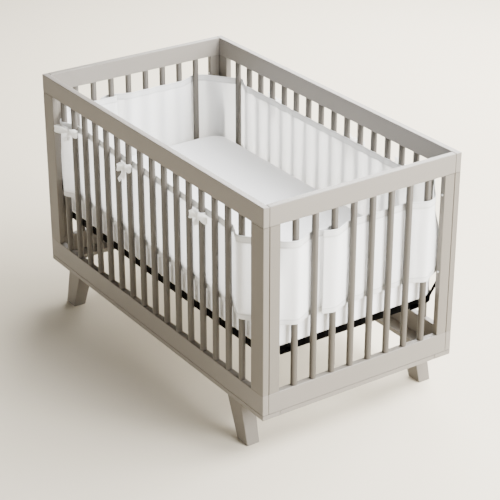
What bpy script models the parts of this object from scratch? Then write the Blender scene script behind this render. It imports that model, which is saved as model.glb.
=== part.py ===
"""Crib with its mattress and a mesh liner, the crib bumper, woven through the slats.

Metres, +Z up. The origin is on the floor at the crib's centre, +X runs along the long sides,
and the front long side is at -Y. The liner is two strips of cloth: the front one goes round
both front corners, and the back one covers the back and most of both ends.
"""

import math
import random

import bmesh
import bpy
from mathutils import Vector

# The crib, whose inside is the standard full-size mattress space
INSIDE_LENGTH = 1.330
INSIDE_WIDTH = 0.711
HEIGHT = 0.865
BOARD = 0.022
LENGTH = INSIDE_LENGTH + 2 * BOARD
WIDTH = INSIDE_WIDTH + 2 * BOARD
JOINT = 0.0003
EASE = 0.002
SHY = 0.0002
SHARP_ANGLE = math.radians(40)

FOOT_HEIGHT = 0.140
BASE_THICKNESS = 0.018
BASE_BOARD = 0.066
BOTTOM_RAIL = 0.070
TOP_RAIL = 0.066
LONG_STILE = 0.067
END_STILE = 0.040

BASE_TOP = FOOT_HEIGHT + BASE_THICKNESS
SLAT_BOTTOM = BASE_TOP + BOTTOM_RAIL
SLAT_TOP = HEIGHT - TOP_RAIL

SLAT_RADIUS = 0.0108
SLAT_SIDES = 16
SLAT_SOCKET = 0.008
LONG_SLATS = 16
END_SLATS = 8

# How far each row of slats is from the crib's centre
LONG_PLANE = (WIDTH - BOARD) / 2
END_PLANE = (LENGTH - BOARD) / 2

# How far a foot's faces are from the crib's centre, at its top and on the floor
FOOT_TOP = {"x": (0.487, 0.562), "y": (0.322, 0.3765)}
FOOT_FLOOR = {"x": (0.540, 0.598), "y": (0.328, 0.374)}

# The mattress and the steel frame that carries it
MATTRESS_LENGTH = 1.305
MATTRESS_WIDTH = 0.685
MATTRESS_BOTTOM = 0.361
MATTRESS_TOP = 0.500
MATTRESS_CORNER = 0.070
MATTRESS_TOP_EDGE = 0.018
MATTRESS_LOW_EDGE = 0.006
FRAME_LENGTH = 1.290
FRAME_WIDTH = 0.680
FRAME_DEPTH = 0.026
FRAME_WALL = 0.003
FRAME_CORNER = 0.045
STRAPS = 7
STRAP_WIDTH = 0.040
LUG = {"low": 0.232, "high": 0.284, "drop": 0.007}
HANGER_THICKNESS = 0.003
HANGER_WIDTH = 0.011
HANGER_COURSE = (
    {"x": "rim", "y": 0.262, "z": 0.340},
    {"x": "rim", "y": 0.298, "z": 0.349},
    {"x": "stile", "y": 0.335, "z": 0.432},
    {"x": "stile", "y": 0.335, "z": 0.470},
)

# The liner
LINER_BOTTOM = 0.447
LINER_TOP = 0.731
CLOTH = 0.003
TOP_HEM = 0.025
BOTTOM_HEM = 0.020
BODY_ROWS = 3
SPAN_STEPS = 2
CLEAR = 0.0025
TIED_CLEAR = 0.0008
PASS_BY = SLAT_RADIUS + CLEAR + CLOTH / 2
PASS_BY_TIED = SLAT_RADIUS + TIED_CLEAR + CLOTH / 2
WAVE_TOP = 0.0030
WAVE_LOW = 0.0055
WAVE_UNEVEN = 0.35
WAVE_SEED = 11
BELLY_LOW = 0.570
BELLY_TOP = 0.695

# The cloth's course round a corner, inwards from the end's and the side's inner faces
CORNER_COURSE = (
    {"top": (-0.007, 0.0645), "low": (-0.003, 0.0625)},
    {"top": (0.031, 0.0355), "low": (0.0195, 0.0170)},
    {"top": (0.067, 0.0065), "low": (0.066, 0.0015)},
)

# Slats are counted from 0, along a long side from -X and along an end from its lapped side.
# Each strip starts on an end, a step before its first slat and so far out from the slats' plane.
LONG_OUTSIDE = (0, LONG_SLATS - 1)
FRONT_STRIP = {"first": 5, "outside": (7,), "before": 0.014, "out": -PASS_BY}
BACK_STRIP = {"first": 2, "outside": (2, 7), "before": 0.043, "out": 0.002}

# The bows that tie the liner's top hem: the slat that each goes round and how far along from it
# its knot sits, each loop's length, swing outwards and rise, and where its tails hang to
BOW_HEIGHT = 0.715
BOWS = {
    "front": (
        {"slat": 1, "knot": -0.008, "left": {"long": 0.085, "out": 0.014, "rise": -0.013},
         "right": {"long": 0.062, "out": 0.003, "rise": 0.007},
         "tails": ((-0.030, -0.008, -0.042), (-0.008, -0.006, -0.036))},
        {"slat": 6, "knot": 0.003, "left": {"long": 0.047, "out": 0.004, "rise": -0.014},
         "right": {"long": 0.044, "out": 0.003, "rise": 0.009},
         "tails": ((-0.037, -0.006, -0.058), (-0.012, -0.004, -0.042))},
        {"slat": 12, "knot": 0.003, "left": {"long": 0.043, "out": 0.004, "rise": -0.013},
         "right": {"long": 0.056, "out": 0.002, "rise": -0.002},
         "tails": ((-0.019, -0.004, -0.041), (-0.006, -0.003, -0.034))},
    ),
    "back": (
        {"slat": 3, "knot": 0.002, "left": {"long": 0.046, "out": 0.004, "rise": -0.012},
         "right": {"long": 0.052, "out": 0.003, "rise": 0.005},
         "tails": ((-0.032, -0.006, -0.050), (-0.008, -0.004, -0.040))},
        {"slat": 9, "knot": -0.003, "left": {"long": 0.058, "out": 0.014, "rise": -0.010},
         "right": {"long": 0.046, "out": 0.003, "rise": 0.004},
         "tails": ((-0.024, -0.005, -0.045), (0.006, -0.004, -0.038))},
        {"slat": 13, "knot": 0.003, "left": {"long": 0.044, "out": 0.004, "rise": -0.012},
         "right": {"long": 0.054, "out": 0.002, "rise": 0.006},
         "tails": ((-0.028, -0.005, -0.052), (-0.010, -0.004, -0.036))},
    ),
}
RIBBON = 0.0016
BAND_RADIUS = SLAT_RADIUS + JOINT + RIBBON / 2
BAND_HEIGHT = 0.011
BAND_SIDES = 8
BAND_LEG = 0.006
KNOT_SIZE = (0.016, 0.011, 0.018)
KNOT_OUT = SLAT_RADIUS + JOINT + KNOT_SIZE[1] / 2
LOOP_DEPTH = 0.013
LOOP_HEIGHT = 0.030
LOOP_PINCH = 0.011
LOOP_TAPER = 0.78
LOOP_STEPS = 12
LOOP_MOUTH = 0.04
TAIL_WIDTH = 0.016
TAIL_PINCH = 0.008
TAIL_STEPS = 4

PAINT = ("warm grey paint", (0.430, 0.407, 0.366), 0.45, 0.0)
STEEL = ("black steel", (0.012, 0.012, 0.013), 0.45, 1.0)
SHEET = ("white sheet", (0.780, 0.780, 0.790), 0.90, 0.0)
MESH_CLOTH = ("white mesh cloth", (0.860, 0.860, 0.850), 0.85, 0.0)
SATIN = ("white satin", (0.800, 0.800, 0.780), 0.40, 0.0)

for old in list(bpy.data.objects):
    bpy.data.objects.remove(old)
PARTS = bpy.data.collections.new("crib_with_liner")
bpy.context.scene.collection.children.link(PARTS)


def finish(row):
    name, colour, roughness, metallic = row
    material = bpy.data.materials.get(name)
    if material is None:
        material = bpy.data.materials.new(name)
        material.use_nodes = True
        shader = material.node_tree.nodes["Principled BSDF"]
        shader.inputs["Base Color"].default_value = (*colour, 1.0)
        shader.inputs["Roughness"].default_value = roughness
        shader.inputs["Metallic"].default_value = metallic
    return material


def place(name, mesh, row, at=(0.0, 0.0, 0.0), turn=0.0):
    """A named object of the mesh, at a point and turned about Z."""
    if not mesh.materials:
        mesh.materials.append(finish(row))
    piece = bpy.data.objects.new(name, mesh)
    piece.location = at
    piece.rotation_euler.z = turn
    PARTS.objects.link(piece)
    return piece


def mesh_from(name, bm, smooth=False):
    mesh = bpy.data.meshes.new(name)
    bm.to_mesh(mesh)
    bm.free()
    if smooth:
        mesh.shade_smooth()
        mesh.set_sharp_from_angle(angle=SHARP_ANGLE)
    return mesh


def evaluated_mesh(piece):
    return bpy.data.meshes.new_from_object(
        piece.evaluated_get(bpy.context.evaluated_depsgraph_get()))


def fuse(name, pieces):
    """One object from pieces that run into each other."""
    whole, *others = pieces
    for other in others:
        union = whole.modifiers.new("union", "BOOLEAN")
        union.operation = "UNION"
        union.object = other
        mesh = evaluated_mesh(whole)
        whole.modifiers.clear()
        whole.data = mesh
        bpy.data.objects.remove(other)
    whole.name = name
    whole.data.name = name
    return whole


def thicken(piece, thickness):
    solid = piece.modifiers.new("thickness", "SOLIDIFY")
    solid.thickness = thickness
    solid.offset = 0.0
    solid.use_even_offset = True


def bevel(bm, edges, width, segments):
    bmesh.ops.bevel(bm, geom=edges, offset=width, segments=segments, profile=0.5,
                    affect="EDGES", material=-1)


def block(size, ease=0.0):
    """A box of the given size about the origin, with its edges eased."""
    bm = bmesh.new()
    bmesh.ops.create_cube(bm, size=1.0)
    bmesh.ops.scale(bm, vec=size, verts=bm.verts)
    if ease:
        bevel(bm, bm.edges[:], ease, 1)
    return bm


def is_upright(edge):
    low, high = sorted(vert.co.z for vert in edge.verts)
    return high - low > EASE


def board(name, low, high):
    low, high = Vector(low), Vector(high)
    return place(name, mesh_from(name, block(high - low, EASE)), PAINT, (low + high) / 2)


def dowel(name, length):
    bm = bmesh.new()
    bmesh.ops.create_cone(bm, cap_ends=True, segments=SLAT_SIDES, radius1=SLAT_RADIUS,
                          radius2=SLAT_RADIUS, depth=length)
    return mesh_from(name, bm, smooth=True)


def slat_places(count, opening):
    """Centres of evenly spaced slats in an opening about 0."""
    gap = (opening - count * 2 * SLAT_RADIUS) / (count + 1)
    pitch = gap + 2 * SLAT_RADIUS
    return [-opening / 2 + gap + SLAT_RADIUS + i * pitch for i in range(count)]


LONG_PLACES = slat_places(LONG_SLATS, LENGTH - 2 * LONG_STILE)
END_PLACES = slat_places(END_SLATS, INSIDE_WIDTH - 2 * END_STILE)


def long_side(side, sign):
    near, far = sorted((sign * WIDTH / 2, sign * INSIDE_WIDTH / 2))
    half = LENGTH / 2
    bottom, top = SLAT_BOTTOM + JOINT, SLAT_TOP - JOINT
    board(f"{side}_bottom_rail", (-half, near, BASE_TOP + JOINT), (half, far, SLAT_BOTTOM))
    board(f"{side}_top_rail", (-half, near, SLAT_TOP), (half, far, HEIGHT))
    for end, start in (("left", -half), ("right", half - LONG_STILE)):
        board(f"{side}_{end}_stile", (start, near, bottom), (start + LONG_STILE, far, top))
    mesh = dowel("long_slat", top - bottom)
    for number, x in enumerate(LONG_PLACES, 1):
        at = (x, sign * LONG_PLANE, (top + bottom) / 2)
        place(f"{side}_slat_{number:02d}", mesh, PAINT, at)


def end_panels():
    """Each end's two rails, two stiles and slats, glued up as one panel."""
    half = INSIDE_WIDTH / 2 - JOINT
    near, far = END_PLANE - BOARD / 2, END_PLANE + BOARD / 2
    bottom, top = SLAT_BOTTOM - SLAT_SOCKET, SLAT_TOP + SLAT_SOCKET
    pieces = [
        board("bottom_rail", (near, -half, BASE_TOP + JOINT), (far, half, SLAT_BOTTOM)),
        board("top_rail", (near, -half, SLAT_TOP), (far, half, HEIGHT)),
    ]
    for start in (SHY - half, half - END_STILE):
        end = start + END_STILE - SHY
        pieces.append(board("stile", (near + SHY, start, bottom), (far - SHY, end, top)))
    mesh = dowel("end_slat", top - bottom)
    for y in END_PLACES:
        pieces.append(place("slat", mesh, PAINT, (END_PLANE, y, (top + bottom) / 2)))
    right = fuse("right_end_panel", pieces)
    place("left_end_panel", right.data, PAINT, (-right.location.x, *right.location[1:]))


def base():
    half, split = LENGTH / 2, WIDTH / 2 - BASE_BOARD
    bottom, top = FOOT_HEIGHT + JOINT, BASE_TOP
    board("front_base_board", (-half, -WIDTH / 2, bottom), (half, -split, top))
    board("back_base_board", (-half, split, bottom), (half, WIDTH / 2, top))
    across = split - JOINT
    board("left_base_board", (-half, -across, bottom), (BASE_BOARD - half, across, top))
    board("right_base_board", (half - BASE_BOARD, -across, bottom), (half, across, top))


def foot(name, sign_x, sign_y):
    """A tapered block that leans outwards to the floor."""
    bm = block((1.0, 1.0, 1.0))
    for vert in bm.verts:
        is_top = vert.co.z > 0
        size = FOOT_TOP if is_top else FOOT_FLOOR
        vert.co.x = sign_x * size["x"][vert.co.x > 0]
        vert.co.y = sign_y * size["y"][vert.co.y > 0]
        vert.co.z = FOOT_HEIGHT if is_top else 0.0
    bm.normal_update()
    bmesh.ops.recalc_face_normals(bm, faces=bm.faces)
    bevel(bm, [edge for edge in bm.edges if is_upright(edge)], EASE, 2)
    place(name, mesh_from(name, bm), PAINT)


def mattress():
    """Firm foam in its fitted sheet, rounded on top and squarer underneath."""
    bm = block((MATTRESS_LENGTH, MATTRESS_WIDTH, MATTRESS_TOP - MATTRESS_BOTTOM))
    bevel(bm, [edge for edge in bm.edges if is_upright(edge)], MATTRESS_CORNER, 6)
    flats = [edge for edge in bm.edges if not is_upright(edge)]
    upper = [edge for edge in flats if edge.verts[0].co.z > 0]
    lower = [edge for edge in flats if edge.verts[0].co.z < 0]
    bevel(bm, upper, MATTRESS_TOP_EDGE, 4)
    bevel(bm, lower, MATTRESS_LOW_EDGE, 2)
    middle = (MATTRESS_TOP + MATTRESS_BOTTOM) / 2
    place("mattress", mesh_from("mattress", bm, smooth=True), SHEET, (0.0, 0.0, middle))


def hanger(sign_x, sign_y):
    """A strap from the rim's end, leaning up and outwards to the inside of an end stile."""
    reach = {"rim": (FRAME_LENGTH + HANGER_THICKNESS) / 2 - SHY,
             "stile": INSIDE_LENGTH / 2 - JOINT - HANGER_THICKNESS / 2}
    leans = [math.atan2(after["y"] - before["y"], after["z"] - before["z"])
             for before, after in zip(HANGER_COURSE, HANGER_COURSE[1:])]
    turns = [(one + other) / 2 for one, other in zip(leans[:1] + leans, leans + leans[-1:])]
    bm = bmesh.new()
    bmesh.ops.create_grid(bm, x_segments=len(leans), y_segments=1, size=0.5)
    for vert in bm.verts:
        number = round((vert.co.x + 0.5) * len(leans))
        row, turn = HANGER_COURSE[number], turns[number]
        across = vert.co.y * HANGER_WIDTH
        vert.co = (sign_x * reach[row["x"]], sign_y * (row["y"] + across * math.cos(turn)),
                   row["z"] - across * math.sin(turn))
    piece = place("hanger", mesh_from("hanger", bm), STEEL)
    thicken(piece, HANGER_THICKNESS)
    return piece


def lug(sign_x, sign_y):
    """A plate on the rim's end, a little deeper than the rim, that a hanger is bolted to."""
    bottom = MATTRESS_BOTTOM - JOINT - FRAME_DEPTH
    low = Vector((-FRAME_WALL / 2 + SHY, LUG["low"], bottom - LUG["drop"]))
    high = Vector((FRAME_WALL / 2 - SHY, LUG["high"], bottom + FRAME_DEPTH / 2))
    middle = (low + high) / 2
    at = (sign_x * (FRAME_LENGTH - FRAME_WALL) / 2, sign_y * middle.y, middle.z)
    return place("lug", mesh_from("lug", block(high - low)), STEEL, at)


def frame_rim():
    """The steel strip that runs round under the mattress's edge, bent round its corners."""
    bm = block((FRAME_LENGTH, FRAME_WIDTH, FRAME_DEPTH))
    bevel(bm, [edge for edge in bm.edges if is_upright(edge)], FRAME_CORNER, 5)
    bm.normal_update()
    flats = [face for face in bm.faces if abs(face.normal.z) > 0.5]
    bmesh.ops.inset_individual(bm, faces=flats, thickness=FRAME_WALL)
    mouths = [edge for face in flats for edge in face.edges]
    bmesh.ops.delete(bm, geom=flats, context="FACES_ONLY")
    bmesh.ops.bridge_loops(bm, edges=mouths)
    middle = MATTRESS_BOTTOM - JOINT - FRAME_DEPTH / 2
    return place("rim", mesh_from("rim", bm), STEEL, (0.0, 0.0, middle))


def frame_strap(number):
    """One of the flat straps across the rim that carry the mattress."""
    pitch = FRAME_LENGTH / (STRAPS + 1)
    x = (number + 1) * pitch - FRAME_LENGTH / 2
    mesh = mesh_from("strap", block((STRAP_WIDTH, FRAME_WIDTH - FRAME_WALL, FRAME_WALL)))
    top = MATTRESS_BOTTOM - JOINT - SHY
    return place("strap", mesh, STEEL, (x, 0.0, top - FRAME_WALL / 2))


def mattress_frame():
    """A steel rim with straps across it, and a lug and a hanger at each corner."""
    pieces = [frame_rim(), *(frame_strap(number) for number in range(STRAPS))]
    for sign_x in (-1, 1):
        for sign_y in (-1, 1):
            pieces += [lug(sign_x, sign_y), hanger(sign_x, sign_y)]
    fuse("mattress_frame", pieces)


def past_slats(places, outside, uneven, tied=()):
    """The cloth's course past slats: (along, out at its top, out lower down) for each point."""
    course = []
    for number, along in places:
        side = 1 if number in outside else -1
        if course:
            before, side_before = course[-1][0], course[-1][1]
            inside = side < 0 and side_before < 0
            slack = uneven.uniform(1 - WAVE_UNEVEN, 1 + WAVE_UNEVEN)
            outs = [slack * wave - PASS_BY if inside else 0.0 for wave in (WAVE_TOP, WAVE_LOW)]
            course.append(((before + along) / 2, *outs))
        course.append((along, -PASS_BY_TIED if number in tied else side * PASS_BY, side * PASS_BY))
    return course


def half_course(strip, uneven, tied):
    """From a strip's edge on the right end, round the back corner, to the middle of the back.

    Each point is given at the top hem and lower down, where the cloth bellies out.
    """
    ends = list(enumerate(END_PLACES))[strip["first"]:]
    edge = (ends[0][1] - strip["before"], strip["out"], strip["out"])
    course = [tuple(Vector((END_PLANE + out, along)) for out in outs)
              for along, *outs in (edge, *past_slats(ends, strip["outside"], uneven))]
    for row in CORNER_COURSE:
        course.append(tuple(Vector((INSIDE_LENGTH / 2 - row[height][0],
                                    INSIDE_WIDTH / 2 - row[height][1]))
                            for height in ("top", "low")))
    backs = list(enumerate(LONG_PLACES))[LONG_SLATS // 2 - 1:][::-1]
    course += [tuple(Vector((along, LONG_PLANE + out)) for out in outs)
               for along, *outs in past_slats(backs, LONG_OUTSIDE, uneven, tied)[:-1]]
    return course


def smooth_line(points):
    """A smooth line through the points."""
    line = []
    ends = [2 * points[0] - points[1], *points, 2 * points[-1] - points[-2]]
    for a, b, c, d in zip(ends, ends[1:], ends[2:], ends[3:]):
        for step in range(SPAN_STEPS):
            t = step / SPAN_STEPS
            bend = (2 * a - 5 * b + 4 * c - d) * t + (3 * b - a - 3 * c + d) * t * t
            line.append(b + (c - a + bend) * t / 2)
    return [*line, points[-1]]


def belly(height):
    """How far the cloth bellies out at a height, from 0 at its top hem to 1 lower down."""
    t = min(max((BELLY_TOP - height) / (BELLY_TOP - BELLY_LOW), 0.0), 1.0)
    return t * t * (3 - 2 * t)


def liner_strip(name, strip, sign_y, bows, seed):
    """A strip of the liner, from its right edge round the back or front to its left edge."""
    uneven = random.Random(seed)
    tied = [bow["slat"] for bow in bows]
    right = half_course(strip, uneven, tied)
    left = half_course(strip, uneven, [LONG_SLATS - 1 - number for number in tied])
    course = right + [tuple(Vector((-point.x, point.y)) for point in points)
                      for points in left[-2::-1]]
    body = (LINER_BOTTOM + BOTTOM_HEM, LINER_TOP - TOP_HEM)
    heights = [LINER_BOTTOM, LINER_TOP]
    heights += [body[0] + (body[1] - body[0]) * i / BODY_ROWS for i in range(BODY_ROWS + 1)]
    heights.sort()
    lines = [smooth_line([top.lerp(low, belly(z)) for top, low in course]) for z in heights]
    columns, rows = len(lines[0]) - 1, len(heights) - 1
    bm = bmesh.new()
    bmesh.ops.create_grid(bm, x_segments=columns, y_segments=rows, size=0.5)
    for vert in bm.verts:
        row = round((vert.co.y + 0.5) * rows)
        point = lines[row][round((vert.co.x + 0.5) * columns)]
        vert.co = (point.x, sign_y * point.y, heights[row])
    thicken(place(name, mesh_from(name, bm, smooth=True), MESH_CLOTH), CLOTH)


def ribbon(name, spine):
    """A flat ribbon along a spine of (point, half-width across) pairs."""
    spans = len(spine) - 1
    bm = bmesh.new()
    bmesh.ops.create_grid(bm, x_segments=spans, y_segments=1, size=0.5)
    for vert in bm.verts:
        point, across = spine[round((vert.co.x + 0.5) * spans)]
        vert.co = point + across * (2 * vert.co.y)
    piece = place(name, mesh_from(name, bm), SATIN)
    thicken(piece, RIBBON)
    return piece


def band():
    """The ribbon round the slat, open towards the liner."""
    across = Vector((0.0, 0.0, BAND_HEIGHT / 2))
    turns = [math.pi * i / BAND_SIDES for i in range(BAND_SIDES + 1)]
    course = [BAND_RADIUS * Vector((math.cos(a), -math.sin(a), 0.0)) for a in turns]
    legs = [Vector((x * BAND_RADIUS, BAND_LEG, 0.0)) for x in (1, -1)]
    return ribbon("band", [(point, across) for point in (legs[0], *course, legs[1])])


def loop(knot_at, way, row):
    """A loop out of the knot and back into it, towards -X or +X."""
    spine = []
    for i in range(LOOP_STEPS + 1):
        angle = 2 * math.pi * (LOOP_MOUTH + (1 - 2 * LOOP_MOUTH) * i / LOOP_STEPS)
        reach = (1 - math.cos(angle)) / 2
        point = Vector((way * row["long"] * reach,
                        LOOP_DEPTH / 2 * math.sin(angle) - row["out"] * reach * reach,
                        row["rise"] * reach))
        swell = math.sin(math.pi * LOOP_TAPER * reach)
        half = (LOOP_PINCH + (LOOP_HEIGHT - LOOP_PINCH) * swell) / 2
        spine.append((knot_at + point, Vector((0.0, 0.0, half))))
    return ribbon("loop", spine)


def tail(knot_at, end):
    """A free end of the ribbon, hanging from the knot."""
    end = Vector(end)
    across = end.cross(Vector((0.0, 1.0, 0.0))).normalized()
    spine = []
    for i in range(TAIL_STEPS + 1):
        t = i / TAIL_STEPS
        half = (TAIL_PINCH + (TAIL_WIDTH - TAIL_PINCH) * math.sqrt(t)) / 2
        spine.append((knot_at + Vector((end.x * t, end.y * t * t, end.z * t)), across * half))
    return ribbon("tail", spine)


def bow(name, row, sign_y):
    knot_at = Vector((row["knot"], -KNOT_OUT, 0.0))
    knot = place("knot", mesh_from("knot", block(KNOT_SIZE, EASE)), SATIN, knot_at)
    pieces = [knot, band(), loop(knot_at, -1, row["left"]), loop(knot_at, 1, row["right"])]
    pieces += [tail(knot_at, end) for end in row["tails"]]
    piece = fuse(name, pieces)
    slat = Vector((LONG_PLACES[row["slat"]], sign_y * LONG_PLANE, BOW_HEIGHT))
    if sign_y > 0:
        knot_at.negate()
        piece.rotation_euler.z = math.pi
    piece.location = slat + knot_at


for side_name, sign in (("front", -1), ("back", 1)):
    long_side(side_name, sign)
    for number, row in enumerate(BOWS[side_name], 1):
        bow(f"{side_name}_bow_{number}", row, sign)
    for end_name, sign_x in (("left", -1), ("right", 1)):
        foot(f"{side_name}_{end_name}_foot", sign_x, sign)
end_panels()
base()
mattress()
mattress_frame()
liner_strip("liner_front", FRONT_STRIP, -1, BOWS["front"], WAVE_SEED)
liner_strip("liner_back", BACK_STRIP, 1, BOWS["back"], WAVE_SEED + 1)
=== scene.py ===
"""The look of a painted crib with a sheeted mattress and a white mesh liner.

Metres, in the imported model's frame: the floor at 0, +X along the crib, its front side at -Y.
The liner is the crib bumper: two strips of mesh with satin hems, woven through the slats and
tied to them with satin bows.
"""

import math
import random

import bmesh
import bpy
from mathutils import Matrix, Vector


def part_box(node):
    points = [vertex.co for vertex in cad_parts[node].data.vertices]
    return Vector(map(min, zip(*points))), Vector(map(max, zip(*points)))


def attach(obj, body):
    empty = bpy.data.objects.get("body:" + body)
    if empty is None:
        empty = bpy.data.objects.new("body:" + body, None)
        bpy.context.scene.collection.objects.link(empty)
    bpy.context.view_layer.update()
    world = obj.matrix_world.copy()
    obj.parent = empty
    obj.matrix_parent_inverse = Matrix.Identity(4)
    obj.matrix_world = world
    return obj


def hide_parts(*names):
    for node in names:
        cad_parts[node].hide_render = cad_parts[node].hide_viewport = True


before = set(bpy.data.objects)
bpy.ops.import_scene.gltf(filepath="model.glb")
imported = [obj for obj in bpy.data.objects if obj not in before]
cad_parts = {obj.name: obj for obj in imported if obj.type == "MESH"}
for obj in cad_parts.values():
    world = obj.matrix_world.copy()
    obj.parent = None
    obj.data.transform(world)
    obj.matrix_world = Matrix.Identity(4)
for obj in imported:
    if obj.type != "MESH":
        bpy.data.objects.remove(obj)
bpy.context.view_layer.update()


def size_of(node):
    low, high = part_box(node)
    return high - low


def middle_of(node):
    low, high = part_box(node)
    return (low + high) / 2


# The crib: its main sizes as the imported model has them, and its own smaller pieces and edges
LENGTH, BOARD = size_of("front_top_rail").xy
WIDTH = -2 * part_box("front_top_rail")[0].y
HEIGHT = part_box("front_top_rail")[1].z
INSIDE_LENGTH = LENGTH - 2 * BOARD
INSIDE_WIDTH = WIDTH - 2 * BOARD
SLAT_BOTTOM, SLAT_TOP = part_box("front_slat_01")[0].z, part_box("front_slat_01")[1].z
SLAT_RADIUS = size_of("front_slat_01").x / 2
LONG_SLATS = 16
LONG_PLACES = [middle_of(f"front_slat_{n + 1:02d}").x for n in range(LONG_SLATS)]
LONG_PLANE = middle_of("back_slat_01").y
END_PLANE = middle_of("right_end_panel").x
JOINT = 0.0003
END_STILE = 0.040
END_SLATS = 8
END_GAP = (INSIDE_WIDTH - 2 * END_STILE - END_SLATS * 2 * SLAT_RADIUS) / (END_SLATS + 1)
END_PLACES = [(n - (END_SLATS - 1) / 2) * (END_GAP + 2 * SLAT_RADIUS) for n in range(END_SLATS)]
FOOT_HEIGHT = size_of("front_left_foot").z
FOOT_TOP = {"x": (0.487, 0.562), "y": (0.322, 0.3765)}
FOOT_FLOOR = {"x": (0.540, 0.598), "y": (0.328, 0.374)}
EASE = 0.0022
EASE_STEPS = 3
CRISP_EASE = 0.0005
SHADOW_GAP = 0.0014
SQUARE_EDGE = math.radians(60)
SLAT_SIDES = 32
SLAT_SHOULDER = 0.0008

# The mattress in its fitted sheet, and the steel frame that carries it
MATTRESS_CORNER = 0.070
MATTRESS_TOP_EDGE = 0.020
MATTRESS_LOW_EDGE = 0.006
MATTRESS_GRAIN = 0.007
MATTRESS_INSET = 0.001
MATTRESS_CROWN = 0.004
CROWN_EASE = 0.09
CROWN_BAND = 0.03
CORNER_PULL = {"height": 0.0011, "reach": 0.30, "folds": 15, "out": 0.02}
SIDES_BELOW = 0.02
SHEET_DRIFT = {"height": 0.0009, "waves": ({"x": 7.3, "y": 0.0, "phase": 2.1},
                                           {"x": 0.0, "y": 9.1, "phase": 0.4})}
SIDE_RIPPLE = {"height": 0.0008, "waves": ({"x": 31.0, "y": 3.0, "phase": 0.0},
                                           {"x": -5.0, "y": 23.0, "phase": 0.0})}
FRAME_WALL = 0.003
STEEL_EASE = FRAME_WALL / 5
FRAME_LENGTH = 1.290
FRAME_WIDTH = 0.680
FRAME_CORNER = 0.045
STRAPS = 7
STRAP_WIDTH = 0.040
RIVET_RADIUS = 0.004
RIVET_HEAD = 0.0018
RIVET_IN = 4 * FRAME_WALL
BUTTON_TAPER = 0.8
LUG = {"low": 0.232, "high": 0.284, "drop": 0.007}
HANGER_WIDTH = 0.011
HANGER_COURSE = (
    {"x": "rim", "y": 0.262, "z": 0.340},
    {"x": "rim", "y": 0.298, "z": 0.349},
    {"x": "stile", "y": 0.335, "z": 0.432},
    {"x": "stile", "y": 0.335, "z": 0.470},
)
BOLT_RADIUS = 0.0042
BOLT_HEAD = 0.0028
STILE_BOLTS = (0.4585, 0.730)

# The liner's cloth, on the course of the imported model's strips
LINER_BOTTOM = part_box("liner_back")[0].z
LINER_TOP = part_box("liner_back")[1].z
MESH_THICKNESS = 0.0010
HEM_THICKNESS = 0.0024
LOW_HEM_THICKNESS = 0.0014
TOP_HEM = 0.025
BOTTOM_HEM = 0.020
STITCH_IN = 0.004
HEM_STITCHES = (LINER_TOP - STITCH_IN, LINER_TOP - TOP_HEM + STITCH_IN,
                LINER_BOTTOM + BOTTOM_HEM - STITCH_IN)
CLOTH_ROWS = 34
HEM_ROWS = 4
SPAN_STEPS = 8
CAD_CLOTH = 0.003
CLEAR = 0.0025
TIED_CLEAR = 0.0008
PASS_BY = SLAT_RADIUS + CLEAR + CAD_CLOTH / 2
PASS_BY_TIED = SLAT_RADIUS + TIED_CLEAR + CAD_CLOTH / 2
WAVE_TOP = 0.0030
WAVE_LOW = 0.0055
WAVE_UNEVEN = 0.35
WAVE_SEED = 11
BELLY_LOW = 0.570
BELLY_TOP = 0.695
CREASE_DEPTH = 0.0022
CREASE_BY_BOWS = 0.0003
BOWS_REACH = {"low": 0.625, "high": 0.660}
FOLDS = 90
FOLD_EDGE = 3
FOLD_RANGES = {"at": (0.0, 2.6), "width": (0.008, 0.020), "lean": (-0.12, 0.12),
               "deep": (-0.0013, 0.0013), "middle": (LINER_BOTTOM, LINER_TOP),
               "tall": (0.06, 0.16)}
RIPPLE = {"height": 0.0006, "long": 41, "short": 97, "short_share": 0.6}
PUCKER = {"height": 0.00025, "reach": 0.012, "close": 520}
CORNER_COURSE = (
    {"top": (-0.007, 0.0645), "low": (-0.003, 0.0625)},
    {"top": (0.031, 0.0355), "low": (0.0195, 0.0170)},
    {"top": (0.067, 0.0065), "low": (0.066, 0.0015)},
)
LONG_OUTSIDE = (0, LONG_SLATS - 1)
FRONT_STRIP = {"first": 5, "outside": (7,), "before": 0.014, "out": -PASS_BY}
BACK_STRIP = {"first": 2, "outside": (2, 7), "before": 0.043, "out": 0.002}

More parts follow.
